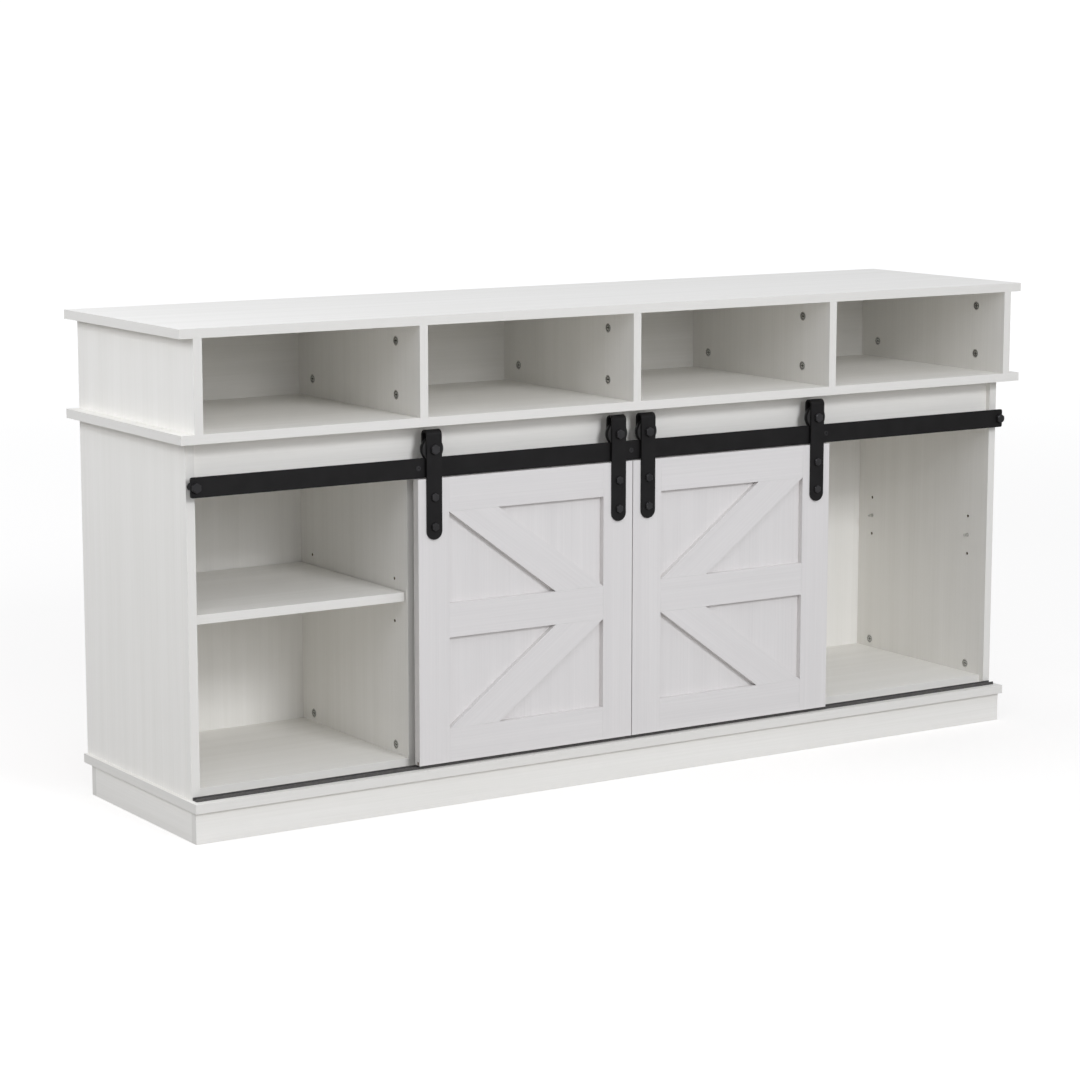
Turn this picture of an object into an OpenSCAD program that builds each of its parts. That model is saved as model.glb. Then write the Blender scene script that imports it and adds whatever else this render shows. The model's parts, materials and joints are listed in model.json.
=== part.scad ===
// TV stand with an open hutch of four cubbies and two barn doors that roll on a flat bar.
// Origin: centre of the footprint on the floor. +X right, +Y to the back, +Z up.

/* [Carcass] */
// Length of the top and middle boards
top_w = 1680; // [1640:1:1720]
// Depth of the whole stand
depth = 421; // [410:1:440]
// Height of the whole stand
total_h = 806; // [796:1:820]
// Thickness of every board
board_t = 15; // [15:0.5:16]
// How far the top and middle boards stand out past each side panel
overhang = 23; // [18:1:26]
// Clear height inside the upper cubbies
cubby_h = 147; // [140:1:160]
// Distance from the middle of the stand to the centre of each partition
partition_x = 411.5; // [405:0.5:420]

/* [Lower cabinet] */
// How far the lower side panels stand back from the front
side_setback = 34; // [33:0.5:36]
// How far the partitions, apron and floor panels stand back from the front
inner_setback = 44; // [44:0.5:46]
// How far the shelves stand back from the front
shelf_setback = 51; // [50:1:80]
// Height of the underside of the shelves
shelf_z = 340; // [250:1:400]
// Height of the apron behind the track
apron_h = 84; // [78:1:90]

/* [Back panels] */
// Thickness of the hardboard back panels
back_t = 3; // [2.5:0.5:4]
// How far the back panels stand in from the rear edges
back_inset = 14.5; // [12:0.5:20]
// How deep the panels sit in their grooves
groove_depth = 4.5; // [3:0.5:5]

/* [Plinth] */
// Height of the plinth boards
plinth_h = 51; // [45:1:60]
// Length of the plinth
plinth_w = 1641; // [1600:1:1645]
// Length of the base board
base_w = 1648; // [1645:1:1660]
// How far the base board stands back from the front
base_setback = 5; // [4:1:8]
// How far the plinth stands back from the front
plinth_setback = 13; // [10:1:20]
// How far the plinth stands in from the rear
plinth_rear_inset = 23; // [15:1:40]

/* [Doors] */
// Width of one door
door_w = 416; // [414:1:416]
// Height of one door
door_h = 470; // [468:0.5:470]
// Thickness of the door frame
door_t = 15; // [15:0.5:15.5]
// Gap between the two closed doors
door_gap = 1.6; // [1:0.1:3]
// How far the door fronts stand back from the front
door_setback = 12; // [12:0.5:12.5]
// Height of the underside of the doors
door_z = 73; // [73:0.5:74]
// Width of the stiles
stile_w = 58; // [54:1:64]
// Width of the rails and braces
rail_w = 56; // [50:1:60]
// Depth from the door front to the inset panel
recess = 10; // [8:0.5:10]

/* [Rolling hardware] */
// Height of the track bar
track_h = 32; // [30:1:34]
// Thickness of the track bar
track_t = 4; // [3.5:0.5:4]
// Length of the track bar
track_w = 1634; // [1632:1:1640]
// Height of the underside of the track bar
track_z = 544.5; // [544.5:0.5:545]
// Width of a hanger strap
strap_w = 28; // [26:1:30]
// Thickness of a hanger strap
strap_t = 3; // [2.5:0.5:3]
// Outside depth of the bend over the wheel
strap_d = 18; // [18:0.5:19]
// Outer diameter of a wheel
wheel_d = 38; // [36:1:40]
// Rolling radius of a wheel
wheel_r = 14; // [13:0.5:15]

/* [Hidden] */
$fn = 48;

white = "#e4e3de";
door_white = "#dcdada";
black = "#262526";
zinc = "#b4b4b0";
beech = "#cdb48a";

// Levels
front = -depth / 2;
rear = depth / 2;
base_top = plinth_h + board_t;
top_z = total_h - board_t;
middle_top = top_z - cubby_h;
middle_z = middle_top - board_t;
floor_top = base_top + board_t;
apron_z = middle_z - apron_h;

// Places across the width and the depth
side_out = top_w / 2 - overhang;
side_in = side_out - board_t;
half_t = board_t / 2;
panel_y = rear - back_inset - back_t;
side_front = front + side_setback;
inner_y = front + inner_setback;
groove_end = side_in + groove_depth;
back_edge = groove_depth - 0.5;

// Connector fittings
upper_cam_y = [front + 76, front + 356];
lower_cam_y = [front + 85, front + 365];
upper_dowel_y = front + 216;
lower_dowel_y = front + 246;
cam_r = 7.5;
cam_deep = 12;
cam_off = 30;
bolt_r = 3;
bolt_in = 6.5;
dowel_r = 4;
dowel_in = 7;
dowel_up = 16;
fit = 0.1;
slack = 0.05;
over = 0.01;

// Shelf pins
pin_y = [front + 86, front + 364];
pin_r = 2.5;
pin_in = 6.5;
pin_out = 9;
pin_z = shelf_z - pin_r;
pin_pitch = 35;
pin_collar = 1.2;
shelf_gap = 1.5;

// Doors
door_y = front + door_setback;
door_mid = door_gap / 2 + door_w / 2;
opening_w = door_w - 2 * stile_w;
middle_rail_z = (door_h - rail_w) / 2;
opening_h = middle_rail_z - rail_w;
brace_angle = atan(opening_h / opening_w) + asin(rail_w / norm([opening_w, opening_h]));
brace_cut = rail_w / sin(brace_angle);
panel_t = door_t - recess;
rebate = 8;
kerf_w = 4.2;
kerf_h = 6;
kerf_y = door_y + 5.9;

// Track and hangers
run_y = front + door_setback - strap_t + strap_d / 2;
track_y = run_y - track_t / 2;
track_back = track_y + track_t;
track_mid_z = track_z + track_h / 2;
axle_z = track_z + track_h + wheel_r;
hanger_x = [door_gap / 2 + stile_w / 2, door_gap / 2 + door_w - stile_w / 2];
strap_y = door_y - strap_t;
bend_r = strap_d / 2;
bend_z = total_h - 193;
strap_low = bend_z - 155;
strap_bolt_z = [bend_z - 148, bend_z - 100];
strap_bolt_r = 3;
axle_r = 4;
stop_x = side_out - half_t;
screw_x = [-413, 0, 413];
spacer_r = 6;
screw_r = 2.25;
stop_r = 3.5;

// Bottom guide and glides
guide_w = 1630;
guide_y = front + 20;
guide_d = 14;
guide_h = 5;
guide_wall = 2.5;
guide_floor = 1.2;
glide_l = 24;
glide_x = [60, door_w - 60];

// Helpers. The ends of a box or a rod can be given in either order.
module box(x0, x1, y0, y1, z0, z1) {
    translate([min(x0, x1), min(y0, y1), min(z0, z1)])
        cube([abs(x1 - x0), abs(y1 - y0), abs(z1 - z0)]);
}

module rod_x(x0, x1, y, z, r) {
    translate([min(x0, x1), y, z])
        rotate([0, 90, 0])
            cylinder(h = abs(x1 - x0), r = r);
}

module rod_y(x, y0, y1, z, r) {
    translate([x, y0, z])
        rotate([-90, 0, 0])
            cylinder(h = y1 - y0, r = r);
}

module rod_z(x, y, z0, z1, r) {
    translate([x, y, min(z0, z1)])
        cylinder(h = abs(z1 - z0), r = r);
}

// Hexagon along Y with a flat on each side in X
module hex_y(x, y0, y1, z, flats) {
    translate([x, y0, z])
        rotate([-90, 0, 0])
            rotate([0, 0, 30])
                cylinder(h = y1 - y0, r = flats / sqrt(3), $fn = 6);
}

// Countersunk head: wide at y0, its shank's width at y1
module cone_y(x, y0, y1, z, r0, r1) {
    translate([x, y0, z])
        rotate([-90, 0, 0])
            cylinder(h = y1 - y0, r1 = r0, r2 = r1);
}

module on_side(side) {
    if (side == "left")
        mirror([1, 0, 0]) children();
    else
        children();
}

// The slot that the back panels sit in, cut out of the boards around them
module back_groove(x0, x1, z0, z1) {
    box(x0, x1, panel_y, panel_y + back_t + 2 * fit, z0, z1);
}

// Sockets for one cam, cut in a panel whose cam face looks along dir in X
module cam_socket(face_x, dir, y, z, end_z) {
    rod_x(face_x + dir * over, face_x - dir * (cam_deep + 0.3), y, z, cam_r + fit);
    rod_z(face_x - dir * half_t, y, z, end_z, bolt_r + 0.5);
}

// One panel's cams, at both ends of its height
module panel_sockets(face_x, dir, ys, z0, z1) {
    for (y = ys) {
        cam_socket(face_x, dir, y, z0 + cam_off, z0 - over);
        cam_socket(face_x, dir, y, z1 - cam_off, z1 + over);
    }
}

// Dowel holes in both ends of an upright panel
module end_dowels(x, y, z0, z1) {
    rod_z(x, y, z0 - over, z0 + dowel_up + 0.5, dowel_r + slack);
    rod_z(x, y, z1 + over, z1 - dowel_up - 0.5, dowel_r + slack);
}

// Holes for the uprights at xs, drilled into a level board from its face at z
module board_holes(xs, ys, dowel_y, z, dir) {
    for (x = xs) {
        for (y = ys)
            rod_z(x, y, z - dir * over, z + dir * (bolt_in + 0.2), bolt_r + slack);
        rod_z(x, dowel_y, z - dir * over, z + dir * (dowel_in + 0.2), dowel_r + slack);
    }
}

// Column of three shelf pin holes in a face that looks along dir in X
module pin_holes(face_x, dir) {
    for (y = pin_y, k = [-1, 0, 1])
        rod_x(face_x + dir * over, face_x - dir * pin_in, y, pin_z + k * pin_pitch, pin_r + slack);
}

upper_x = [-side_out + half_t, -partition_x, 0, partition_x, side_out - half_t];
lower_x = [-side_out + half_t, -partition_x, partition_x, side_out - half_t];

// Level boards
module top_board() {
    color(white) difference() {
        box(-top_w / 2, top_w / 2, front, rear, top_z, total_h);
        back_groove(-groove_end, groove_end, top_z - 1, top_z + groove_depth);
        board_holes(upper_x, upper_cam_y, upper_dowel_y, top_z, 1);
    }
}

module middle_board() {
    color(white) difference() {
        box(-top_w / 2, top_w / 2, front, rear, middle_z, middle_top);
        back_groove(-groove_end, groove_end, middle_top - groove_depth, middle_top + 1);
        back_groove(-groove_end, groove_end, middle_z - 1, middle_z + groove_depth);
        board_holes(upper_x, upper_cam_y, upper_dowel_y, middle_top, -1);
        board_holes(lower_x, lower_cam_y, lower_dowel_y, middle_z, 1);
    }
}

module base_board() {
    color(white) difference() {
        box(-base_w / 2, base_w / 2, front + base_setback, rear, plinth_h, base_top);
        back_groove(-groove_end, groove_end, base_top - groove_depth, base_top + 1);
        board_holes(lower_x, lower_cam_y, lower_dowel_y, base_top, -1);
    }
}

// Upper uprights
module upper_side(side) {
    dir = side == "left" ? 1 : -1;
    face = -dir * side_in;
    color(white) difference() {
        box(face, -dir * side_out, front, rear, middle_top, top_z);
        back_groove(face + dir, face - dir * (groove_depth + 0.5), middle_top - 1, top_z + 1);
        panel_sockets(face, dir, upper_cam_y, middle_top, top_z);
        end_dowels(face - dir * half_t, upper_dowel_y, middle_top, top_z);
    }
}

module upper_divider(x) {
    color(white) difference() {
        box(x - half_t, x + half_t, front, panel_y, middle_top, top_z);
        panel_sockets(x - half_t, -1, upper_cam_y, middle_top, top_z);
        end_dowels(x, upper_dowel_y, middle_top, top_z);
    }
}

module upper_back(side) {
    on_side(side)
        color(white)
            box(0, side_in + back_edge, panel_y, panel_y + back_t, middle_top - back_edge, top_z + back_edge);
}

// Lower uprights
module lower_side(side) {
    dir = side == "left" ? 1 : -1;
    face = -dir * side_in;
    color(white) difference() {
        box(face, -dir * side_out, side_front, rear, base_top, middle_z);
        back_groove(face + dir, face - dir * (groove_depth + 0.5), base_top - 1, middle_z + 1);
        panel_sockets(face, dir, lower_cam_y, base_top, middle_z);
        end_dowels(face - dir * half_t, lower_dowel_y, base_top, middle_z);
        pin_holes(face, dir);
        rod_y(-dir * stop_x, side_front - 1, side_front + 24, track_mid_z, stop_r + slack);
    }
}

module partition(x) {
    color(white) difference() {
        box(x - half_t, x + half_t, inner_y, panel_y, base_top, middle_z);
        box(x - board_t, x + board_t, inner_y - 1, inner_y + board_t, apron_z, middle_z + 1);
        panel_sockets(x - half_t, -1, lower_cam_y, base_top, middle_z);
        end_dowels(x, lower_dowel_y, base_top, middle_z);
        pin_holes(x - half_t, -1);
        pin_holes(x + half_t, 1);
    }
}

module lower_back(x0, x1) {
    color(white)
        box(x0, x1, panel_y, panel_y + back_t, base_top - back_edge, middle_z + back_edge);
}

module floor_panel(x0, x1) {
    color(white)
        box(x0, x1, inner_y, panel_y, base_top, floor_top);
}

module shelf(x0, x1) {
    color(white)
        box(x0 + shelf_gap, x1 - shelf_gap, front + shelf_setback, panel_y - 3, shelf_z, shelf_z + board_t);
}

// Rail behind the track
module apron() {
    color(white) difference() {
        box(-side_in, side_in, inner_y, inner_y + board_t, apron_z, middle_z);
        for (x = screw_x)
            rod_y(x, inner_y - 1, inner_y + 12, track_mid_z, screw_r + slack);
    }
}

// Plinth
module plinth_long(y0) {
    color(white)
        box(-plinth_w / 2, plinth_w / 2, y0, y0 + board_t, 0, plinth_h);
}

module plinth_end(side) {
    on_side(side)
        color(white)
            box(plinth_w / 2 - board_t, plinth_w / 2, front + plinth_setback + board_t,
                rear - plinth_rear_inset - board_t, 0, plinth_h);
}

// Track bar with small round corners
module track_outline() {
    r = 3;
    difference() {
        union() {
            square([track_w - 2 * r, track_h], center = true);
            square([track_w, track_h - 2 * r], center = true);
            for (sx = [-1, 1], sz = [-1, 1])
                translate([sx * (track_w / 2 - r), sz * (track_h / 2 - r)])
                    circle(r = r);
        }
        for (x = [-stop_x, stop_x])
            translate([x, 0])
                circle(r = stop_r + slack);
        for (x = screw_x)
            translate([x, 0])
                circle(r = screw_r + slack);
    }
}

module track_bar() {
    color(black) difference() {
        translate([0, track_back, track_mid_z])
            rotate([90, 0, 0])
                linear_extrude(height = track_t)
                    track_outline();
        for (x = screw_x)
            cone_y(x, track_y - over, track_y + 2.5, track_mid_z, 4.6, screw_r);
    }
}

module spacer(x, y1, shank_r) {
    difference() {
        rod_y(x, track_back, y1, track_mid_z, spacer_r);
        rod_y(x, track_back - 1, y1 + 1, track_mid_z, shank_r + slack);
    }
}

module track_spacers() {
    color(black) {
        for (x = screw_x)
            spacer(x, inner_y, screw_r);
        for (x = [-stop_x, stop_x])
            spacer(x, side_front, stop_r);
    }
}

module track_screws() {
    color(black)
        for (x = screw_x)
            difference() {
                union() {
                    cone_y(x, track_y + 0.2, track_y + 2.5, track_mid_z, 4.3, screw_r);
                    rod_y(x, track_y + 2.4, inner_y + 11, track_mid_z, screw_r);
                }
                hex_y(x, track_y - 1, track_y + 1.6, track_mid_z, 3);
            }
}

// Hexagon bolts at both ends of the track, which also stop the hangers
module end_stops() {
    color(black)
        for (x = [-stop_x, stop_x]) {
            hex_y(x, track_y - 7, track_y, track_mid_z, 14);
            rod_y(x, track_y - over, side_front + 22, track_mid_z, stop_r);
        }
}

// Channel that the door glides run in
module bottom_guide() {
    color(black) difference() {
        box(-guide_w / 2, guide_w / 2, guide_y, guide_y + guide_d, base_top, base_top + guide_h);
        box(-guide_w / 2 - 1, guide_w / 2 + 1, guide_y + guide_wall, guide_y + guide_d - guide_wall,
            base_top + guide_floor, base_top + guide_h + 1);
    }
}

// Shelf pins: two in each of the six faces that carry a shelf
module shelf_pin(face_x, dir, y) {
    rod_x(face_x - dir * (pin_in - 0.5), face_x + dir * pin_out, y, pin_z, pin_r);
    rod_x(face_x, face_x + dir * pin_collar, y, pin_z, pin_r + 1.2);
}

module shelf_pins() {
    color(zinc)
        for (y = pin_y) {
            shelf_pin(-side_in, 1, y);
            shelf_pin(-partition_x - half_t, -1, y);
            shelf_pin(-partition_x + half_t, 1, y);
            shelf_pin(partition_x - half_t, -1, y);
            shelf_pin(partition_x + half_t, 1, y);
            shelf_pin(side_in, -1, y);
        }
}

// Cam lock: a drum with a cavity for the bolt's head and a cross recess in its face
module cam_lock(face_x, dir, y, z, to_end) {
    difference() {
        rod_x(face_x, face_x - dir * cam_deep, y, z, cam_r);
        rod_z(face_x - dir * half_t, y, z, z + to_end * (cam_r + 1), bolt_r + 0.4);
        for (turn = [0, 90])
            translate([face_x, y, z])
                rotate([turn, 0, 0])
                    cube([3, 7, 1.4], center = true);
    }
}

module cam_pair(face_x, dir, y, z0, z1) {
    cam_lock(face_x, dir, y, z0 + cam_off, -1);
    cam_lock(face_x, dir, y, z1 - cam_off, 1);
}

module cam_locks() {
    color(zinc) {
        for (y = upper_cam_y) {
            cam_pair(-side_in, 1, y, middle_top, top_z);
            cam_pair(side_in, -1, y, middle_top, top_z);
            for (x = [-partition_x, 0, partition_x])
                cam_pair(x - half_t, -1, y, middle_top, top_z);
        }
        for (y = lower_cam_y) {
            cam_pair(-side_in, 1, y, base_top, middle_z);
            cam_pair(side_in, -1, y, base_top, middle_z);
            for (x = [-partition_x, partition_x])
                cam_pair(x - half_t, -1, y, base_top, middle_z);
        }
    }
}

// Bolt screwed into a level board at z, reaching up or down into a cam
module cam_bolt(x, y, z, up) {
    rod_z(x, y, z - up * bolt_in, z, bolt_r);
    rod_z(x, y, z, z + up * (cam_off - 5), bolt_r - 0.5);
    rod_z(x, y, z + up * (cam_off - 5), z + up * (cam_off - 2), bolt_r);
}

module cam_bolts() {
    color(zinc) {
        for (x = upper_x, y = upper_cam_y) {
            cam_bolt(x, y, middle_top, 1);
            cam_bolt(x, y, top_z, -1);
        }
        for (x = lower_x, y = lower_cam_y) {
            cam_bolt(x, y, base_top, 1);
            cam_bolt(x, y, middle_z, -1);
        }
    }
}

module wood_dowels() {
    color(beech) {
        for (x = upper_x) {
            rod_z(x, upper_dowel_y, middle_top - dowel_in, middle_top + dowel_up, dowel_r);
            rod_z(x, upper_dowel_y, top_z - dowel_up, top_z + dowel_in, dowel_r);
        }
        for (x = lower_x) {
            rod_z(x, lower_dowel_y, base_top - dowel_in, base_top + dowel_up, dowel_r);
            rod_z(x, lower_dowel_y, middle_z - dowel_up, middle_z + dowel_in, dowel_r);
        }
    }
}

// Door parts, drawn for the right door: its inner edge is near the middle of the stand
module door_frame_box(x0, x1, z0, z1) {
    translate([door_gap / 2, 0, door_z])
        box(x0, x1, door_y, door_y + door_t, z0, z1);
}

module kerf() {
    translate([door_gap / 2, 0, door_z])
        box(-1, door_w + 1, kerf_y - kerf_w / 2, kerf_y + kerf_w / 2, -1, kerf_h);
}

module panel_space(gap) {
    edge = rebate + gap;
    translate([door_gap / 2, 0, door_z])
        box(stile_w - edge, door_w - stile_w + edge, door_y + recess, door_y + door_t + gap,
            rail_w - edge, door_h - rail_w + edge);
}

module hanger_bolt_holes() {
    for (x = hanger_x, z = strap_bolt_z)
        rod_y(x, door_y - 1, door_y + door_t + 1, z, strap_bolt_r + slack);
}

module door_stile(side, x0) {
    on_side(side)
        color(door_white) difference() {
            door_frame_box(x0, x0 + stile_w, 0, door_h);
            panel_space(0.2);
            kerf();
            hanger_bolt_holes();
        }
}

module door_rail(side, z0) {
    on_side(side)
        color(door_white) difference() {
            door_frame_box(stile_w, door_w - stile_w, z0, z0 + rail_w);
            panel_space(0.2);
            kerf();
        }
}

module door_middle_rail(side) {
    z0 = door_z + middle_rail_z;
    on_side(side)
        color(door_white)
            translate([door_gap / 2, 0, 0])
                box(stile_w, door_w - stile_w, door_y, door_y + recess, z0, z0 + rail_w);
}

// Two slanted boards: each runs from an outer corner of its opening to the inner end of the middle rail
module door_braces(side) {
    on_side(side)
        color(door_white)
            for (flip = [1, -1])
                translate([door_gap / 2 + stile_w, door_y + recess, door_z + door_h / 2])
                    rotate([90, 0, 0])
                        linear_extrude(height = recess)
                            polygon([
                                [0, flip * rail_w / 2],
                                [opening_w - brace_cut, flip * (rail_w / 2 + opening_h)],
                                [opening_w, flip * (rail_w / 2 + opening_h)],
                                [brace_cut, flip * rail_w / 2]
                            ]);
}

module door_panel(side) {
    on_side(side)
        color(door_white)
            panel_space(0);
}

// Hanger: a strap bent over the wheel, long leg on the door, short leg behind the wheel
module hanger_leg(x, y0, z0) {
    difference() {
        union() {
            box(x - strap_w / 2, x + strap_w / 2, y0, y0 + strap_t, z0, bend_z);
            rod_y(x, y0, y0 + strap_t, z0, strap_w / 2);
        }
        rod_y(x, y0 - 1, y0 + strap_t + 1, axle_z, axle_r + slack);
        for (z = strap_bolt_z)
            rod_y(x, y0 - 1, y0 + strap_t + 1, z, strap_bolt_r + slack);
    }
}

module hanger_bend(x) {
    difference() {
        rod_x(x - strap_w / 2, x + strap_w / 2, run_y, bend_z, bend_r);
        rod_x(x - strap_w, x + strap_w, run_y, bend_z, bend_r - strap_t);
        box(x - strap_w, x + strap_w, run_y - strap_d, run_y + strap_d, bend_z - strap_d, bend_z);
    }
}

module door_hangers(side) {
    on_side(side)
        color(black)
            for (x = hanger_x) {
                hanger_leg(x, strap_y, strap_low);
                hanger_leg(x, strap_y + strap_d - strap_t, axle_z);
                hanger_bend(x);
            }
}

// Hexagon bolt through to a nut
module bolt_and_nut(x, z, y0, y1, r, head, flats) {
    hex_y(x, y0 - head, y0, z, flats);
    rod_y(x, y0 - over, y1 + 3.6, z, r);
    hex_y(x, y1, y1 + 3, z, flats);
}

module door_bolts(side) {
    on_side(side)
        color(black)
            for (x = hanger_x) {
                bolt_and_nut(x, axle_z, strap_y, strap_y + strap_d, axle_r, 5.5, 14);
                for (z = strap_bolt_z)
                    bolt_and_nut(x, z, strap_y, door_y + door_t, strap_bolt_r, 4, 12);
            }
}

// Glide: a tongue in the door's kerf, a thin foot and a shoe in the bottom guide
module door_glides(side) {
    foot_z = base_top + guide_h + 0.4;
    shoe_z = base_top + guide_floor + 0.6;
    shoe_y = guide_y + guide_d / 2;
    on_side(side)
        color(black)
            for (x = glide_x)
                translate([door_gap / 2 + x - glide_l / 2, 0, 0]) {
                    box(0, glide_l, kerf_y - 1.9, kerf_y + 1.9, foot_z, door_z + kerf_h - 0.5);
                    box(0, glide_l, kerf_y - 1.9, shoe_y + 4, foot_z, door_z);
                    box(0, glide_l, shoe_y - 4, shoe_y + 4, shoe_z, foot_z);
                }
}

// Grooved wheel that rides on the track's top edge
module wheel(x) {
    rim = wheel_d / 2;
    root = wheel_r - 0.3;
    width = strap_d - 2 * strap_t - 1.2;
    half_groove = track_t / 2 + 0.3;
    color(black)
        translate([x, run_y, axle_z])
            rotate([90, 0, 0])
                rotate_extrude()
                    polygon([
                        [axle_r + fit, -width / 2],
                        [rim, -width / 2],
                        [rim, -half_groove - 1],
                        [root, -half_groove],
                        [root, half_groove],
                        [rim, half_groove + 1],
                        [rim, width / 2],
                        [axle_r + fit, width / 2]
                    ]);
}

top_board();
middle_board();
base_board();
upper_side("left");  // upper_side_left
upper_side("right");  // upper_side_right
upper_divider(-partition_x);  // upper_divider_left
upper_divider(0);  // upper_divider_middle
upper_divider(partition_x);  // upper_divider_right
upper_back("left");  // upper_back_left
upper_back("right");  // upper_back_right
lower_side("left");  // lower_side_left
lower_side("right");  // lower_side_right
partition(-partition_x);  // partition_left
partition(partition_x);  // partition_right
lower_back(-side_in - back_edge, -partition_x);  // lower_back_left
lower_back(-partition_x, partition_x);  // lower_back_middle
lower_back(partition_x, side_in + back_edge);  // lower_back_right
floor_panel(-side_in, -partition_x - half_t);  // floor_left
floor_panel(-partition_x + half_t, partition_x - half_t);  // floor_middle
floor_panel(partition_x + half_t, side_in);  // floor_right
shelf(-side_in, -partition_x - half_t);  // shelf_left
shelf(-partition_x + half_t, partition_x - half_t);  // shelf_middle
apron();
plinth_long(front + plinth_setback);  // plinth_front
plinth_long(rear - plinth_rear_inset - board_t);  // plinth_back
plinth_end("left");  // plinth_left
plinth_end("right");  // plinth_right
track_bar();
track_spacers();
track_screws();
end_stops();
bottom_guide();
shelf_pins();
cam_locks();
cam_bolts();
wood_dowels();
door_stile("left", door_w - stile_w);  // left_door_outer_stile
door_stile("left", 0);  // left_door_inner_stile
door_rail("left", door_h - rail_w);  // left_door_top_rail
door_middle_rail("left");  // left_door_middle_rail
door_rail("left", 0);  // left_door_bottom_rail
door_braces("left");  // left_door_braces
door_panel("left");  // left_door_panel
door_hangers("left");  // left_door_hangers
door_bolts("left");  // left_door_bolts
door_glides("left");  // left_door_glides
door_stile("right", door_w - stile_w);  // right_door_outer_stile
door_stile("right", 0);  // right_door_inner_stile
door_rail("right", door_h - rail_w);  // right_door_top_rail
door_middle_rail("right");  // right_door_middle_rail
door_rail("right", 0);  // right_door_bottom_rail
door_braces("right");  // right_door_braces
door_panel("right");  // right_door_panel
door_hangers("right");  // right_door_hangers
door_bolts("right");  // right_door_bolts
door_glides("right");  // right_door_glides
wheel(-hanger_x[1]);  // left_outer_wheel
wheel(-hanger_x[0]);  // left_inner_wheel
wheel(hanger_x[0]);  // right_inner_wheel
wheel(hanger_x[1]);  // right_outer_wheel
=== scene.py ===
"""TV stand with barn doors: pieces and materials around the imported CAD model."""

import json
import math

import bmesh
import bpy
from mathutils import Matrix, Vector


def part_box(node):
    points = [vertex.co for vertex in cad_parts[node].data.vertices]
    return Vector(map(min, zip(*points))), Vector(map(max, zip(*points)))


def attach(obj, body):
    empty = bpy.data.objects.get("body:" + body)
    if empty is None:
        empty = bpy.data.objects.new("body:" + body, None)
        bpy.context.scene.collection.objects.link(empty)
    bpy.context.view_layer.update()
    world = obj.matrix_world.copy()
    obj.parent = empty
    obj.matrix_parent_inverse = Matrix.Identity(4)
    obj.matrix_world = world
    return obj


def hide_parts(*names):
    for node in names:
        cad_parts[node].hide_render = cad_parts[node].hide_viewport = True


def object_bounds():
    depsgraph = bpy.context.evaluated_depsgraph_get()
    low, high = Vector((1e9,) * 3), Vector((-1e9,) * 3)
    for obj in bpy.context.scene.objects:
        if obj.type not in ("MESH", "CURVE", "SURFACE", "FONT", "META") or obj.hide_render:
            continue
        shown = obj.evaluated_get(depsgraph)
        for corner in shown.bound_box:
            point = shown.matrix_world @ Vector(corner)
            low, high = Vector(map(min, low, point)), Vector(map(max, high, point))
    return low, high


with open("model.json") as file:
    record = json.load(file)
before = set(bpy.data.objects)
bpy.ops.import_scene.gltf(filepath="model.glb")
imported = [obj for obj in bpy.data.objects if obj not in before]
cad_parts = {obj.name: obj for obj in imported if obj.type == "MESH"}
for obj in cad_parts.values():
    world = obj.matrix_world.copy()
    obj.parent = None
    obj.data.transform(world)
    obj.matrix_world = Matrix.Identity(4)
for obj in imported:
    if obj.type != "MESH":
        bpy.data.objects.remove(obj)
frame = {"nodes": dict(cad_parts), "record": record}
CAD_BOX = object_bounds()

MM = 0.001
X, Y, Z = Vector((1, 0, 0)), Vector((0, 1, 0)), Vector((0, 0, 1))
GRAIN_UV = "grain"
STUDIO_WHITE = (0.965, 0.982, 1.025)
LIT_POINT = Vector((0, 0, 0.4))
BEVEL = 0.35 * MM
ALONG = 0.75  # a face whose normal has this much of a direction faces that way
ROUND_STEPS = 40
STRAP_HALF_W = 14 * MM
STRAP_T = 3 * MM
STRAP_BOLT_RISES = (21 * MM, 69 * MM)
END_STOP_HALF_W = 7 * MM
CAM_INSET = 30 * MM
CAM_SETBACKS = {"upper": (76 * MM, 356 * MM), "lower": (85 * MM, 365 * MM)}
CAM_DEPTH = 11.5 * MM
BODY_OF = {
    node: body
    for body, nodes in frame["record"]["behaviour"]["bodies"].items()
    for node in nodes
}


# ---------------------------------------------------------------- materials


def srgb(red, green, blue):
    """A display colour, 0 to 255, as linear RGBA."""
    def linear(value):
        value /= 255
        return value / 12.92 if value <= 0.04045 else ((value + 0.055) / 1.055) ** 2.4

    return (linear(red), linear(green), linear(blue), 1)


def new_material(name):
    material = bpy.data.materials.new(name)
    material.use_nodes = True
    tree = material.node_tree
    shader = tree.nodes["Principled BSDF"]
    return material, tree, shader


def add(tree, kind, links=None, values=None, **properties):
    """A shader node with its properties, its fixed inputs and its links."""
    made = tree.nodes.new(kind)
    for key, value in properties.items():
        setattr(made, key, value)
    for socket, value in (values or {}).items():
        made.inputs[socket].default_value = value
    for socket, source in (links or {}).items():
        tree.links.new(source, made.inputs[socket])
    return made


def stretched_noise(tree, source, scale, detail=3, roughness=0.5, distortion=0.0):
    """Noise whose scale, per metre, differs along each axis of its source."""
    mapping = add(tree, "ShaderNodeMapping", {"Vector": source}, {"Scale": scale})
    noise = add(
        tree,
        "ShaderNodeTexNoise",
        {"Vector": mapping.outputs["Vector"]},
        {"Scale": 1, "Detail": detail, "Roughness": roughness, "Distortion": distortion},
    )
    return noise.outputs["Fac"]


def remap(tree, source, low, high, to_low=0.0, to_high=1.0):
    made = add(
        tree,
        "ShaderNodeMapRange",
        {"Value": source},
        {"From Min": low, "From Max": high, "To Min": to_low, "To Max": to_high},
    )
    return made.outputs["Result"]


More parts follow.
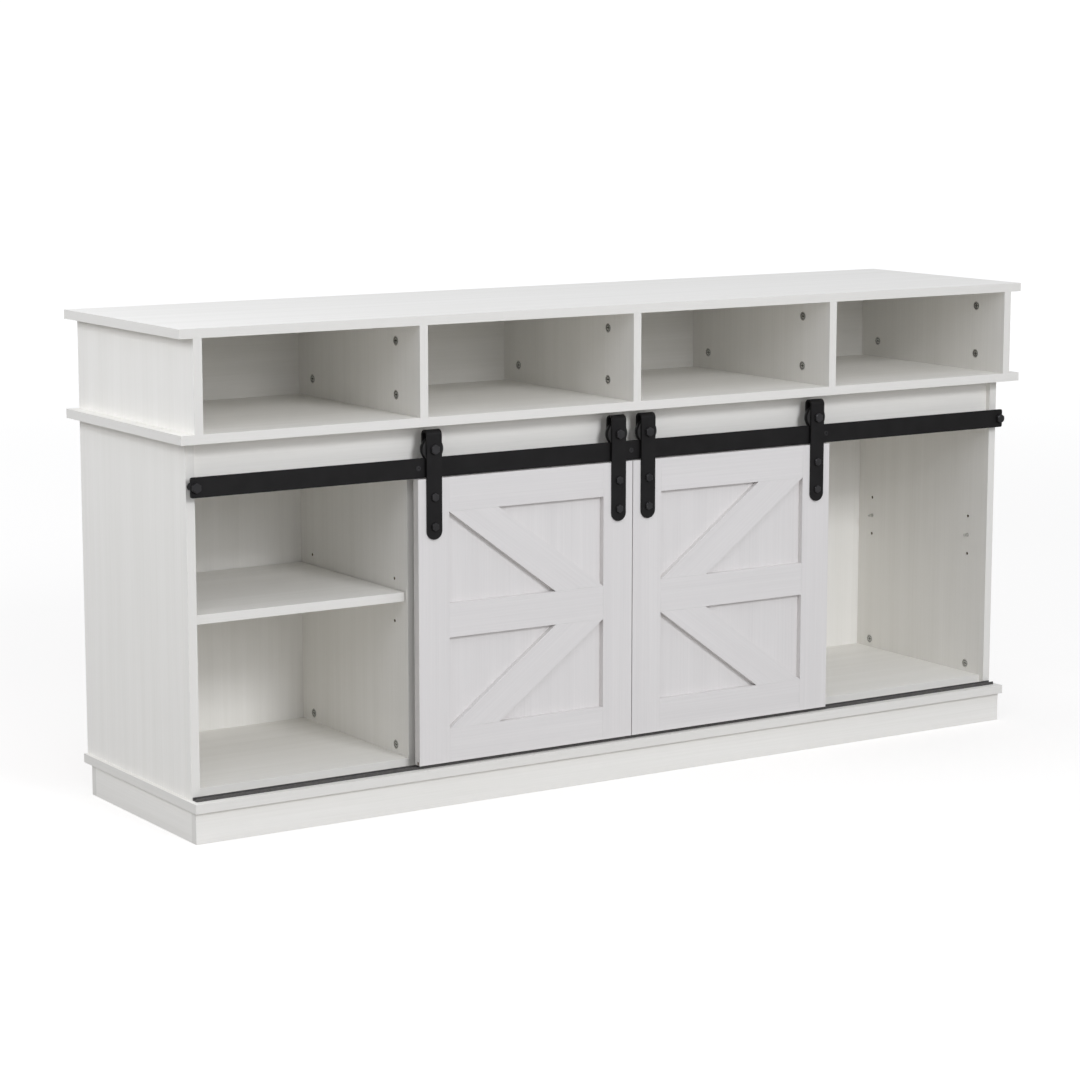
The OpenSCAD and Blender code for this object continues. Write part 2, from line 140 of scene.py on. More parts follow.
def mix_colour(tree, factor, first, second):
    """Colour between two others. Each is a fixed colour or another node's output."""
    made = add(tree, "ShaderNodeMix", {"Factor": factor}, data_type="RGBA")
    for socket, colour in (("A", first), ("B", second)):
        target = next(s for s in made.inputs if s.name == socket and s.type == "RGBA")
        if isinstance(colour, tuple):
            target.default_value = colour
        else:
            tree.links.new(colour, target)
    return next(s for s in made.outputs if s.type == "RGBA")


def combine(tree, operation, first, second):
    """Maths on one output and either a number or another output."""
    made = add(tree, "ShaderNodeMath", {0: first}, operation=operation)
    if isinstance(second, (int, float)):
        made.inputs[1].default_value = second
    else:
        tree.links.new(second, made.inputs[1])
    return made.outputs["Value"]


def add_bump(tree, shader, height, strength, distance):
    bump = add(
        tree,
        "ShaderNodeBump",
        {"Height": height},
        {"Strength": strength, "Distance": distance},
    )
    tree.links.new(bump.outputs["Normal"], shader.inputs["Normal"])


def laminate(name, light, grey, contrast=1.0):
    """White woodgrain laminate. The grain map gives metres along and across the grain."""
    material, tree, shader = new_material(name)
    grain = add(tree, "ShaderNodeUVMap", uv_map=GRAIN_UV).outputs["UV"]
    broad = stretched_noise(tree, grain, (1.1, 34, 1), detail=4, roughness=0.55, distortion=0.25)
    fine = stretched_noise(tree, grain, (3.2, 300, 1), detail=3, roughness=0.6)
    pores = stretched_noise(tree, grain, (11, 1100, 1), detail=2)
    broad_streak = remap(tree, broad, 0.32, 0.68, 0, 0.55)
    fine_streak = remap(tree, fine, 0.35, 0.7, 0, 0.45)
    streak = combine(tree, "ADD", broad_streak, fine_streak)
    pore = remap(tree, pores, 0.62, 0.74)
    pored = combine(tree, "ADD", streak, combine(tree, "MULTIPLY", pore, 0.5))
    tone = combine(tree, "MULTIPLY", pored, contrast)
    tree.links.new(mix_colour(tree, tone, light, grey), shader.inputs["Base Color"])
    tree.links.new(remap(tree, fine, 0.3, 0.7, 0.48, 0.6), shader.inputs["Roughness"])
    shader.inputs["Specular IOR Level"].default_value = 0.35
    height = combine(tree, "SUBTRACT", fine, combine(tree, "MULTIPLY", pore, 0.6))
    add_bump(tree, shader, height, 0.35, 0.12 * MM)
    return material


def chipboard_painted_shade(name):
    """Raw particle board, seen only inside drilled holes and grooves, its colour darkened as painted
    shade of those holes and grooves.
    """
    material, tree, shader = new_material(name)
    place = add(tree, "ShaderNodeTexCoord").outputs["Object"]
    chips = stretched_noise(tree, place, (700, 700, 700), detail=4, roughness=0.65)
    # chip colours darker than bare board: painted shade for the deep holes and grooves
    colour = mix_colour(tree, remap(tree, chips, 0.35, 0.65), srgb(116, 102, 84), srgb(150, 134, 112))
    tree.links.new(colour, shader.inputs["Base Color"])
    shader.inputs["Roughness"].default_value = 0.9
    add_bump(tree, shader, chips, 0.6, 0.3 * MM)
    return material


def hardboard(name):
    """Brown pressed fibre on the rear of the back panels."""
    material, tree, shader = new_material(name)
    place = add(tree, "ShaderNodeTexCoord").outputs["Object"]
    fibre = stretched_noise(tree, place, (260, 260, 260), detail=6, roughness=0.75)
    cloud = stretched_noise(tree, place, (7, 7, 7), detail=2)
    fine_part = combine(tree, "MULTIPLY", fibre, 0.88)
    cloudy_part = combine(tree, "MULTIPLY", cloud, 0.12)
    mixed = combine(tree, "ADD", fine_part, cloudy_part)
    colour = mix_colour(tree, remap(tree, mixed, 0.35, 0.65), srgb(148, 119, 87), srgb(178, 148, 113))
    tree.links.new(colour, shader.inputs["Base Color"])
    tree.links.new(remap(tree, fibre, 0.3, 0.7, 0.7, 0.85), shader.inputs["Roughness"])
    add_bump(tree, shader, fibre, 0.4, 0.15 * MM)
    return material


def powder_coat(name, dark, light, roughness, gloss):
    """Black powder coat: a fine orange peel and a slightly uneven colour."""
    material, tree, shader = new_material(name)
    place = add(tree, "ShaderNodeTexCoord").outputs["Object"]
    peel = stretched_noise(tree, place, (1500, 1500, 1500), detail=2)
    cloud = stretched_noise(tree, place, (30, 30, 30), detail=4)
    colour = mix_colour(tree, remap(tree, cloud, 0.35, 0.65), dark, light)
    tree.links.new(colour, shader.inputs["Base Color"])
    shader.inputs["Specular IOR Level"].default_value = gloss
    uneven = remap(tree, cloud, 0.3, 0.7, roughness - 0.05, roughness + 0.05)
    tree.links.new(uneven, shader.inputs["Roughness"])
    add_bump(tree, shader, peel, 0.25, 0.06 * MM)
    return material


def nylon(name, dark, light):
    """Matte moulded nylon with faint flow marks."""
    material, tree, shader = new_material(name)
    place = add(tree, "ShaderNodeTexCoord").outputs["Object"]
    flow = stretched_noise(tree, place, (160, 160, 160), detail=3, distortion=0.8)
    grit = stretched_noise(tree, place, (2400, 2400, 2400), detail=2)
    colour = mix_colour(tree, remap(tree, flow, 0.35, 0.65), dark, light)
    tree.links.new(colour, shader.inputs["Base Color"])
    tree.links.new(remap(tree, flow, 0.3, 0.7, 0.48, 0.6), shader.inputs["Roughness"])
    add_bump(tree, shader, grit, 0.2, 0.04 * MM)
    return material


def metal(name, dark, light, roughness):
    """Plated metal with blotchy plating and fine scratches."""
    material, tree, shader = new_material(name)
    place = add(tree, "ShaderNodeTexCoord").outputs["Object"]
    blotch = stretched_noise(tree, place, (350, 350, 350), detail=4, roughness=0.6)
    scratch = stretched_noise(tree, place, (300, 3000, 3000), detail=2)
    colour = mix_colour(tree, remap(tree, blotch, 0.35, 0.65), dark, light)
    tree.links.new(colour, shader.inputs["Base Color"])
    shader.inputs["Metallic"].default_value = 1
    uneven = remap(tree, blotch, 0.3, 0.7, roughness - 0.08, roughness + 0.08)
    tree.links.new(uneven, shader.inputs["Roughness"])
    add_bump(tree, shader, scratch, 0.15, 0.03 * MM)
    return material


def raw_beech(name):
    """Fluted beech dowel."""
    material, tree, shader = new_material(name)
    place = add(tree, "ShaderNodeTexCoord").outputs["Object"]
    rings = stretched_noise(tree, place, (700, 700, 60), detail=3)
    colour = mix_colour(tree, remap(tree, rings, 0.35, 0.65), srgb(190, 156, 112), srgb(214, 184, 142))
    tree.links.new(colour, shader.inputs["Base Color"])
    shader.inputs["Roughness"].default_value = 0.75
    add_bump(tree, shader, rings, 0.3, 0.1 * MM)
    return material


WHITE = laminate("white_laminate", srgb(249, 247, 242), srgb(241, 239, 233))
WHITE_EDGE = laminate("white_edge_band", srgb(236, 234, 229), srgb(230, 228, 222), contrast=0.8)
DOOR = laminate("door_laminate", srgb(230, 227, 225), srgb(222, 219, 217))
DOOR_EDGE = laminate("door_edge_band", srgb(228, 225, 223), srgb(221, 218, 216), contrast=0.8)
# darkened chipboard for hole and groove walls: painted shade
CHIPS_PAINTED_SHADE = chipboard_painted_shade("particle_board_painted_shade")
FIBRE = hardboard("hardboard_rear")
BLACK = powder_coat("black_powder_coat", srgb(29, 28, 28), srgb(33, 32, 32), 0.55, 0.15)
BLACK_BOLT = powder_coat("black_bolt", srgb(34, 33, 34), srgb(46, 45, 46), 0.36, 0.5)
NYLON = nylon("black_nylon", srgb(30, 29, 29), srgb(40, 39, 38))
GUIDE = nylon("dark_channel", srgb(70, 68, 67), srgb(84, 82, 80))
ZINC = metal("zinc_plate", srgb(196, 196, 193), srgb(226, 225, 221), 0.34)
# darker metal for the cam recesses: painted shade
ZINC_RECESS_PAINTED_SHADE = metal("zinc_recess_painted_shade", srgb(84, 84, 81), srgb(112, 111, 107), 0.55)
BEECH = raw_beech("raw_beech")


# ---------------------------------------------------------------- pieces


def finish_piece(name, bm, materials, nodes, smooth_angle=35):
    """Turns a bmesh into a piece that stands for CAD nodes and rides on their body."""
    mesh = bpy.data.meshes.new(name)
    bm.normal_update()
    bm.to_mesh(mesh)
    bm.free()
    for material in materials:
        mesh.materials.append(material)
    mesh.shade_smooth()
    mesh.set_sharp_from_angle(angle=math.radians(smooth_angle))
    piece = bpy.data.objects.new(name, mesh)
    bpy.context.scene.collection.objects.link(piece)
    shading = piece.modifiers.new("keep_faces_flat", "WEIGHTED_NORMAL")
    shading.weight = 50
    shading.keep_sharp = True
    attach(piece, BODY_OF[nodes[0]])
    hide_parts(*nodes)
    return piece


def thickness_axis(low, high):
    size = high - low
    return min(range(3), key=lambda i: size[i])


def map_grain(bm, thick, grain_at, seed):
    """Writes metres along and across the grain, face by face, and shifts them by the seed."""
    layer = bm.loops.layers.uv.new(GRAIN_UV)
    shift = Vector((seed * 1.37, seed * 0.613))
    for face in bm.faces:
        if abs(face.normal.dot(thick)) > ALONG:
            along = grain_at(face.calc_center_median())
            across = thick.cross(along)
        else:
            along = thick.cross(face.normal).normalized()
            across = thick
        for loop in face.loops:
            place = loop.vert.co
            loop[layer].uv = Vector((place.dot(along), place.dot(across))) + shift


def paint_board(bm, low, high, axis):
    """Slot 0 is a board's two faces, 1 its edges, 2 what drilling and grooving laid bare."""
    near = 0.6 * MM
    for face in bm.faces:
        centre = face.calc_center_median()
        sides = [min(abs(centre[i] - low[i]), abs(centre[i] - high[i])) for i in range(3)]
        if abs(face.normal[axis]) > ALONG and sides[axis] < near:
            face.material_index = 0
        elif min(sides[i] for i in range(3) if i != axis) < near:
            face.material_index = 1
        else:
            face.material_index = 2


def bevel_sharp(bm, width, segments=2, angle=30):
    """Rounds every edge that is sharper than the angle."""
    sharp = [
        edge
        for edge in bm.edges
        if len(edge.link_faces) == 2 and edge.calc_face_angle() > math.radians(angle)
    ]
    bmesh.ops.bevel(
        bm, geom=sharp, offset=width, segments=segments, profile=0.5, affect="EDGES", clamp_overlap=True
    )


def cad_shape(node):
    """A bmesh with the node's exact shape and no needless edges in its flat faces."""
    bm = bmesh.new()
    bm.from_mesh(frame["nodes"][node].data)
    bmesh.ops.remove_doubles(bm, verts=bm.verts, dist=1e-6)
    bmesh.ops.dissolve_limit(
        bm, angle_limit=math.radians(0.5), verts=bm.verts, edges=bm.edges, delimit=set()
    )
    return bm


def board(node, grain, materials, seed):
    """A laminated board with rounded edges, its grain along the given direction."""
    low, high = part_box(node)
    axis = thickness_axis(low, high)
    thick = (X, Y, Z)[axis]
    bm = cad_shape(node)
    bevel_sharp(bm, BEVEL)
    bm.normal_update()
    map_grain(bm, thick, grain if callable(grain) else lambda place: grain, seed)
    paint_board(bm, low, high, axis)
    return finish_piece(node + "_board", bm, materials, [node])


def plain_piece(node, material, bevel=0.3 * MM):
    """A small solid with rounded edges."""
    bm = cad_shape(node)
    bevel_sharp(bm, bevel)
    finish_piece(node + "_piece", bm, [material], [node])


def ring_points(radius, steps=ROUND_STEPS):
    return [
        Vector((radius * math.cos(2 * math.pi * i / steps), radius * math.sin(2 * math.pi * i / steps)))
        for i in range(steps)
    ]


def lathe(bm, profile, place, material_index=0, steps=ROUND_STEPS):
    """Turns a profile of (radius, height) round the local Z axis and moves it by a matrix."""
    rings = []
    for radius, height in profile:
        points = [Vector((0, 0))] if radius == 0 else ring_points(radius, steps)
        rings.append([bm.verts.new(place @ Vector((p.x, p.y, height))) for p in points])
    for lower, upper in zip(rings, rings[1:]):
        count = max(len(lower), len(upper))
        for i in range(count):
            j = (i + 1) % count
            below = [lower[i % len(lower)], lower[j % len(lower)]]
            above = [upper[j % len(upper)], upper[i % len(upper)]]
            unique = list(dict.fromkeys(below + above))
            if len(unique) > 2:
                bm.faces.new(unique).material_index = material_index


def hex_radius(angle, flats):
    """Distance from a hexagon's centre to its side at an angle."""
    step = math.pi / 3
    return flats / 2 / math.cos((angle % step) - step / 2)


def hex_prism(bm, flats, height, place):
    """Hexagon head or nut with a flat at local +X and its top corners turned off by a cone."""
    steps = 48
    slope = math.tan(math.radians(30))
    crown = flats / 2 * 0.97
    rings = [[], [], []]
    for i in range(steps):
        angle = 2 * math.pi * i / steps
        out = hex_radius(angle + math.pi / 6, flats)
        corner = height - max(0, out - crown) * slope
        for ring, radius, level in ((0, out, 0), (1, out, corner), (2, crown, height)):
            point = Vector((radius * math.cos(angle), radius * math.sin(angle), level))
            rings[ring].append(bm.verts.new(place @ point))
    for lower, upper in zip(rings, rings[1:]):
        for i in range(steps):
            j = (i + 1) % steps
            bm.faces.new([lower[i], lower[j], upper[j], upper[i]])
    bm.faces.new(rings[2])
    bm.faces.new(list(reversed(rings[0])))


def facing(direction, place):
    """Matrix that stands local +Z along a direction and puts the origin at a place."""
    return Matrix.Translation(place) @ direction.to_track_quat("Z", "Y").to_matrix().to_4x4()


# ---------------------------------------------------------------- boards

VERTICAL = ("upper_side", "upper_divider", "lower_side", "partition", "lower_back")


def make_carcass_boards():
    hardware = ("track", "end_stops", "bottom_guide", "shelf_pins", "cam", "wood_dowels")
    carcass = [n for n in sorted(frame["nodes"]) if BODY_OF[n] == "carcass"]
    nodes = [n for n in carcass if not n.startswith(hardware)]
    for seed, node in enumerate(nodes):
        upright = node.startswith(VERTICAL)
        sideways = node in ("plinth_left", "plinth_right")
        grain = Z if upright else Y if sideways else X
        piece = board(node, grain, [WHITE, WHITE_EDGE, CHIPS_PAINTED_SHADE], seed)
        if "_back_" in node:
            show_rear_fibre(piece)


def show_rear_fibre(piece):
    piece.data.materials.append(FIBRE)
    for face in piece.data.polygons:
        if face.normal.y > 0.5:
            face.material_index = 3


def brace_grain(door):
    """Direction of a brace at a place: both braces run outwards from the middle rail."""
    low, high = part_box(door + "_braces")
    rail_low, rail_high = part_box(door + "_middle_rail")
    opening_w = high.x - low.x
    opening_h = high.z - rail_high.z
    width = rail_high.z - rail_low.z
    angle = math.atan2(opening_h, opening_w) + math.asin(width / math.hypot(opening_w, opening_h))
    middle = (rail_low.z + rail_high.z) / 2
    outwards = 1 if low.x > 0 else -1

    def grain(place):
        upwards = 1 if place.z > middle else -1
        return Vector((outwards * math.cos(angle), 0, upwards * math.sin(angle)))

    return grain


def make_door_boards(door, seed):
    grains = {
        "outer_stile": Z,
        "inner_stile": Z,
        "top_rail": X,
        "middle_rail": X,
        "bottom_rail": X,
        "panel": Z,
        "braces": brace_grain(door),
    }
    for count, (part, grain) in enumerate(grains.items()):
        inside = DOOR_EDGE if part == "braces" else CHIPS_PAINTED_SHADE
        board(f"{door}_{part}", grain, [DOOR, DOOR_EDGE, inside], seed + count)


# ---------------------------------------------------------------- hardware


def strap_stations(front_y, back_y, low_z, bend_z, back_low_z, half_w):
    """Places along a strap's middle line: (y, z, unit normal, half width)."""
    radius = (back_y - front_y) / 2
    middle_y = (front_y + back_y) / 2
    stations = []
    rounding = [math.radians(a) for a in range(0, 91, 9)]
    for a in rounding:
        z = low_z + half_w * (1 - math.cos(a))
        stations.append((front_y, z, -Y, half_w * math.sin(a)))
    for a in range(0, 181, 10):
        turn = math.radians(a)
        out = Vector((0, -math.cos(turn), math.sin(turn)))
        stations.append((middle_y + out.y * radius, bend_z + out.z * radius, out, half_w))
    for a in reversed(rounding):
        z = back_low_z + half_w * (1 - math.cos(a))
        stations.append((back_y, z, Y, half_w * math.sin(a)))
    return stations


def add_strap(bm, x, stations, thick):
    rings = []
    for y, z, normal, half_w in stations:
        centre = Vector((x, y, z))
        side = max(half_w, 0.02 * MM) * X
        rings.append([
            bm.verts.new(centre + normal * thick / 2 - side),
            bm.verts.new(centre + normal * thick / 2 + side),
            bm.verts.new(centre - normal * thick / 2 + side),
            bm.verts.new(centre - normal * thick / 2 - side),
        ])
    for lower, upper in zip(rings, rings[1:]):
        for i in range(4):
            j = (i + 1) % 4
            bm.faces.new([lower[i], lower[j], upper[j], upper[i]])
    bm.faces.new(list(reversed(rings[0])))
    bm.faces.new(rings[-1])


def make_hangers(door):
    low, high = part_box(door + "_hangers")
    front_y = low.y + STRAP_T / 2
    back_y = high.y - STRAP_T / 2
    bend_z = high.z - (high.y - low.y) / 2
    back_low_z = axle_height() - STRAP_HALF_W
    stations = strap_stations(front_y, back_y, low.z, bend_z, back_low_z, STRAP_HALF_W)
    bm = bmesh.new()
    for x in hanger_centres(door):
        add_strap(bm, x, stations, STRAP_T)
    bevel_sharp(bm, 0.45 * MM, segments=3, angle=50)
    finish_piece(door + "_straps", bm, [BLACK], [door + "_hangers"])


def axle_height():
    low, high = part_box("left_outer_wheel")
    return (low.z + high.z) / 2


def hanger_centres(door):
    low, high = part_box(door + "_hangers")
    return [low.x + STRAP_HALF_W, high.x - STRAP_HALF_W]


def make_door_bolts(door):
    """Axle bolts and strap bolts: turned hexagon heads, nuts and rounded shank ends."""
    strap_low, strap_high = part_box(door + "_hangers")
    door_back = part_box(door + "_outer_stile")[1].y
    axle = {"radius": 4 * MM, "head": 5.5 * MM, "flats": 14 * MM}
    strap_bolt = {"radius": 3 * MM, "head": 4 * MM, "flats": 12 * MM}
    bm = bmesh.new()
    for x in hanger_centres(door):
        add_bolt(bm, x, axle_height(), strap_low.y, strap_high.y, **axle)
        for rise in STRAP_BOLT_RISES:
            add_bolt(bm, x, strap_low.z + rise, strap_low.y, door_back, **strap_bolt)
    finish_piece(door + "_bolt_set", bm, [BLACK_BOLT], [door + "_bolts"], smooth_angle=25)


def add_bolt(bm, x, z, front_y, back_y, radius, head, flats):
    """Head on the front face, nut on the back face."""
    washer = 0.6 * MM
    face = facing(-Y, Vector((x, front_y, z)))
    lathe(bm, [(0, 0), (flats * 0.5, 0), (flats * 0.5, washer), (0, washer)], face)
    hex_prism(bm, flats, head - washer, facing(-Y, Vector((x, front_y - washer, z))))
    depth = back_y - front_y
    nut = 3 * MM
    past_nut = 0.6 * MM
    hex_prism(bm, flats, nut, facing(Y, Vector((x, back_y, z))))
    tip = depth + nut + past_nut
    chamfer = 0.4 * MM
    shank = [(0, 0), (radius, 0), (radius, tip - chamfer), (radius - chamfer, tip), (0, tip)]
    lathe(bm, shank, facing(Y, Vector((x, front_y, z))))


def make_wheel(node):
    """Grooved nylon wheel with a bearing seat on both sides."""
    low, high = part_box(node)
    centre = (low + high) / 2
    half = (high.y - low.y) / 2
    rim = (high.z - low.z) / 2
    root = 13.7 * MM
    bore = 4.1 * MM
    groove = 2.3 * MM
    edge = 0.5 * MM
    seat = 1.2 * MM
    side = [
        (bore, half - seat),
        (9.2 * MM, half - seat),
        (9.5 * MM, half),
        (rim - edge, half),
        (rim, half - edge),
        (rim, groove + 1.2 * MM),
        (rim - edge, groove + 1.0 * MM),
        (root, groove),
    ]
    mirrored = [(radius, -height) for radius, height in reversed(side)]
    bm = bmesh.new()
    place = facing(Y, centre)
    lathe(bm, side + mirrored + [side[0]], place, steps=64)
    bmesh.ops.remove_doubles(bm, verts=bm.verts, dist=1e-7)
    for direction in (Y, -Y):
        seat_place = facing(direction, centre + direction * (half - seat))
        ring = [(bore, 0), (bore, 0.7 * MM), (5.6 * MM, 0.8 * MM), (5.8 * MM, 0.3 * MM)]
        outer = [(7.8 * MM, 0.3 * MM), (8.0 * MM, 0.8 * MM), (9.1 * MM, 0.8 * MM), (9.1 * MM, 0)]
        lathe(bm, ring + outer, seat_place, material_index=1)
    bmesh.ops.recalc_face_normals(bm, faces=bm.faces)
    finish_piece(node + "_turned", bm, [NYLON, ZINC], [node], smooth_angle=30)


def make_cam_locks():
    """Cam locks: a die-cast drum with a rim, a stepped face and a cross recess; the sunk ring and the
    cross are painted darker as painted shade.
    """
    bm = bmesh.new()
    for place, direction in cam_places():
        add_cam(bm, facing(direction, place))
    bmesh.ops.remove_doubles(bm, verts=bm.verts, dist=1e-7)
    bmesh.ops.recalc_face_normals(bm, faces=bm.faces)
    finish_piece("cam_lock_set", bm, [ZINC, ZINC_RECESS_PAINTED_SHADE], ["cam_locks"], smooth_angle=30)


def cam_places():
    """Centre of each cam's face and the way it looks."""
    uprights = {"upper": ("upper_side", "upper_divider"), "lower": ("lower_side", "partition")}
    places = []
    for level, setbacks in CAM_SETBACKS.items():
        for node in sorted(n for n in frame["nodes"] if n.startswith(uprights[level])):
            low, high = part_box(node)
            looks = X if node == level + "_side_left" else -X
            x = high.x if looks is X else low.x
            for setback in setbacks:
                y = CAD_BOX[0].y + setback
                for z in (low.z + CAM_INSET, high.z - CAM_INSET):
                    places.append((Vector((x, y, z)), looks))
    return places


def add_cam(bm, place):
    """A drum a little smaller than its bore, with a sunk ring round a boss with a cross; ring and cross
    take the darker metal as painted shade.
    """
    radius = 7.2 * MM
    ring = 5.9 * MM
    boss = 4.7 * MM
    face = -0.05 * MM
    boss_face = -0.15 * MM
    ring_floor = -1.1 * MM
    taper = 0.2 * MM
    chamfer = 0.3 * MM
    drum = [(radius, -CAM_DEPTH), (radius, face - chamfer), (radius - chamfer, face), (ring, face)]
    sunk = [(ring, face), (ring - taper, ring_floor), (boss + taper, ring_floor), (boss, boss_face)]
    lathe(bm, [(0, -CAM_DEPTH)] + drum, place, steps=32)
    # the sunk ring gets the darker metal: painted shade
    lathe(bm, sunk, place, material_index=1, steps=32)
    add_cross(bm, place, boss, boss_face)


def add_cross(bm, place, outer, level):
    """Flat disc of the given radius with a cross sunk into it."""
    arm = 3.6 * MM
    half = 0.85 * MM
    deep = 2.4 * MM
    narrowing = 0.8
    corners = [
        (arm, -half), (arm, half), (half, half), (half, arm), (-half, arm), (-half, half),
        (-arm, half), (-arm, -half), (-half, -half), (-half, -arm), (half, -arm), (half, -half),
    ]
    rim = []
    for x, y in corners:
        angle = math.atan2(y, x)
        rim.append(Vector((outer * math.cos(angle), outer * math.sin(angle), level)))
    top = [bm.verts.new(place @ Vector((x, y, level))) for x, y in corners]
    sunk = [
        bm.verts.new(place @ Vector((x * narrowing, y * narrowing, level - deep)))
        for x, y in corners
    ]
    edge = [bm.verts.new(place @ p) for p in rim]
    for i in range(len(corners)):
        j = (i + 1) % len(corners)
        bm.faces.new([top[i], edge[i], edge[j], top[j]])
        # the cross recess gets the darker metal: painted shade
        bm.faces.new([sunk[i], top[i], top[j], sunk[j]]).material_index = 1
    bm.faces.new(sunk).material_index = 1


def make_shelf_pins():
    """Shelf pins: a collar against the panel and a chamfered peg."""
    low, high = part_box("shelf_pins")
    shelf_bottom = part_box("shelf_left")[0].z
    peg = 2.5 * MM
    peg_end = 0.5 * MM
    collar = 3.7 * MM
    collar_t = 1.2 * MM
    collar_edge = 0.3 * MM
    inside = 6 * MM
    outside = 9 * MM
    z = shelf_bottom - peg
    faces = []
    for node, looks in (
        ("lower_side_left", X),
        ("partition_left", -X),
        ("partition_left", X),
        ("partition_right", -X),
        ("partition_right", X),
        ("lower_side_right", -X),
    ):
        panel_low, panel_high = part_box(node)
        faces.append((panel_high.x if looks is X else panel_low.x, looks))
    profile = [
        (0, -inside), (peg, -inside), (peg, 0), (collar, 0), (collar, collar_t - collar_edge),
        (collar - collar_edge, collar_t), (peg, collar_t), (peg, outside - peg_end),
        (peg - peg_end, outside), (0, outside),
    ]
    bm = bmesh.new()
    for x, looks in faces:
        for y in (low.y + collar, high.y - collar):
            lathe(bm, profile, facing(looks, Vector((x, y, z))), steps=24)
    finish_piece("shelf_pin_set", bm, [ZINC], ["shelf_pins"], smooth_angle=30)


def make_end_stops():
    """Hexagon bolts through both ends of the track."""
    low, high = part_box("end_stops")
    track_low, track_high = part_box("track_bar")
    z = (track_low.z + track_high.z) / 2
    head = track_low.y - low.y
    length = high.y - track_low.y
    washer = 0.8 * MM
    washer_r = 6.8 * MM
    shank_r = 3.5 * MM
    bm = bmesh.new()
    for x in (low.x + END_STOP_HALF_W, high.x - END_STOP_HALF_W):
        at_track = Vector((x, track_low.y, z))
        lathe(bm, [(0, 0), (washer_r, 0), (washer_r, washer), (0, washer)], facing(-Y, at_track))
        hex_prism(bm, 2 * END_STOP_HALF_W, head - washer, facing(-Y, at_track - Y * washer))
        lathe(bm, [(0, 0), (shank_r, 0), (shank_r, length), (0, length)], facing(Y, at_track))
    finish_piece("end_stop_set", bm, [BLACK_BOLT], ["end_stops"], smooth_angle=25)


def make_hardware():
    plain_piece("track_bar", BLACK, 0.4 * MM)
    plain_piece("track_spacers", BLACK)
    plain_piece("track_screws", BLACK_BOLT, 0.1 * MM)
    plain_piece("bottom_guide", GUIDE)
    make_end_stops()
    make_shelf_pins()
    make_cam_locks()
    for door in ("left_door", "right_door"):
        make_hangers(door)
        make_door_bolts(door)
        plain_piece(door + "_glides", NYLON, 0.4 * MM)
    for node in sorted(n for n in frame["nodes"] if n.endswith("_wheel")):
        make_wheel(node)
    dress_hidden("cam_bolts", ZINC)
    dress_hidden("wood_dowels", BEECH)


def dress_hidden(node, material):
    """A fastener inside the boards keeps its CAD shape and gets its own material."""
    mesh = frame["nodes"][node].data
    mesh.materials.clear()
    mesh.materials.append(material)


# ---------------------------------------------------------------- stage


def make_floor():
    """Pale floor that, to the camera only, glows up to the backdrop's white far from the stand."""
    material, tree, shader = new_material("studio_floor")
    place = add(tree, "ShaderNodeTexCoord").outputs["Object"]
    distance = add(tree, "ShaderNodeVectorMath", {0: place}, operation="LENGTH").outputs["Value"]
    cloud = stretched_noise(tree, place, (0.6, 0.6, 0.6), detail=2)
    near = mix_colour(tree, cloud, srgb(188, 186, 183), srgb(192, 190, 187))
    clear = 1.3
    far = 7
    near_glow = 0.56
    fade = remap(tree, distance, clear, far)
    tree.links.new(mix_colour(tree, fade, near, (0.08, 0.08, 0.08, 1)), shader.inputs["Base Color"])
    shader.inputs["Emission Color"].default_value = (1, 1, 1, 1)
    seen = add(tree, "ShaderNodeLightPath").outputs["Is Camera Ray"]
    glow = combine(tree, "MULTIPLY", seen, remap(tree, distance, clear, far, near_glow, 1))
    tree.links.new(glow, shader.inputs["Emission Strength"])
    shader.inputs["Roughness"].default_value = 0.9
    half = 300
    corners = [(-half, -half, 0), (half, -half, 0), (half, half, 0), (-half, half, 0)]
    mesh = bpy.data.meshes.new("floor")
    mesh.from_pydata(corners, [], [(0, 1, 2, 3)])
    mesh.materials.append(material)
    floor = bpy.data.objects.new("floor", mesh)
    bpy.context.scene.collection.objects.link(floor)


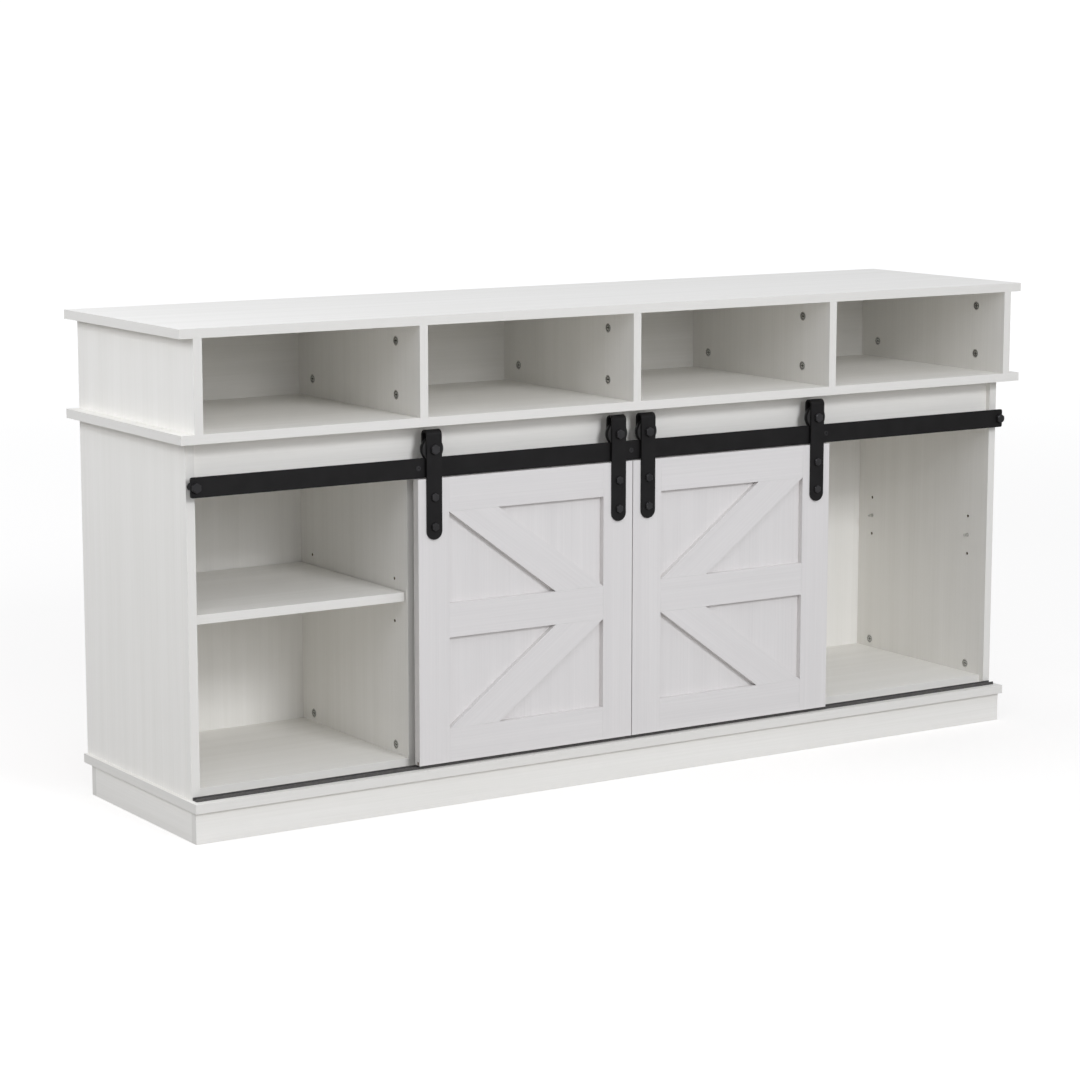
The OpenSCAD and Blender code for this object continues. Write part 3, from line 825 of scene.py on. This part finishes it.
def make_area_light(name, place, size, power):
    data = bpy.data.lights.new(name, "AREA")
    data.shape = "RECTANGLE"
    data.size, data.size_y = size
    data.energy = power
    data.color = STUDIO_WHITE
    light = bpy.data.objects.new(name, data)
    light.location = place
    light.rotation_euler = (LIT_POINT - place).to_track_quat("-Z", "Y").to_euler()
    bpy.context.scene.collection.objects.link(light)


def light_place(turn, height, distance):
    """A place round the stand: degrees right of straight in front, degrees up, metres away."""
    turn = math.radians(turn)
    height = math.radians(height)
    level = distance * math.cos(height)
    rise = distance * math.sin(height)
    return LIT_POINT + Vector((level * math.sin(turn), -level * math.cos(turn), rise))


def make_lights():
    """An even studio that looks pure white behind the stand, and soft boxes on every side."""
    world = bpy.data.worlds.new("studio")
    bpy.context.scene.world = world
    world.use_nodes = True
    tree = world.node_tree
    background = tree.nodes["Background"]
    background.inputs["Color"].default_value = (*STUDIO_WHITE, 1)
    seen = add(tree, "ShaderNodeLightPath").outputs["Is Camera Ray"]
    fill = 0.47
    backdrop = 1.1
    tree.links.new(remap(tree, seen, 0, 1, fill, backdrop), background.inputs["Strength"])
    make_area_light("overhead", light_place(80, 74, 3.2), (4.0, 3.0), 19)
    make_area_light("front", light_place(4, 27, 5.5), (1.4, 0.9), 90)
    make_area_light("low_front", light_place(2, 17, 5.5), (1.4, 0.9), 24)
    make_area_light("left_front", light_place(-42, 36, 3.6), (2.0, 1.6), 12)
    make_area_light("side", light_place(-92, 27, 2.5), (0.6, 0.7), 12)
    make_area_light("back", light_place(195, 30, 4.6), (2.6, 1.6), 24)


def make_camera():
    """Fitted to the stand's visible corners: position, turn, tilt and focal length."""
    data = bpy.data.cameras.new("camera")
    data.sensor_width = 36
    data.lens = 100.7
    tilt_down = 9.277
    turn_right = 32.843
    camera = bpy.data.objects.new("camera", data)
    camera.location = (-2.846, -4.321, 1.2266)
    camera.rotation_euler = (math.radians(90 - tilt_down), 0, math.radians(-turn_right))
    bpy.context.scene.collection.objects.link(camera)
    bpy.context.scene.camera = camera


make_camera()
make_lights()
make_floor()
make_carcass_boards()
make_door_boards("left_door", 40)
make_door_boards("right_door", 50)
make_hardware()
bpy.context.scene.view_settings.view_transform = "Standard"
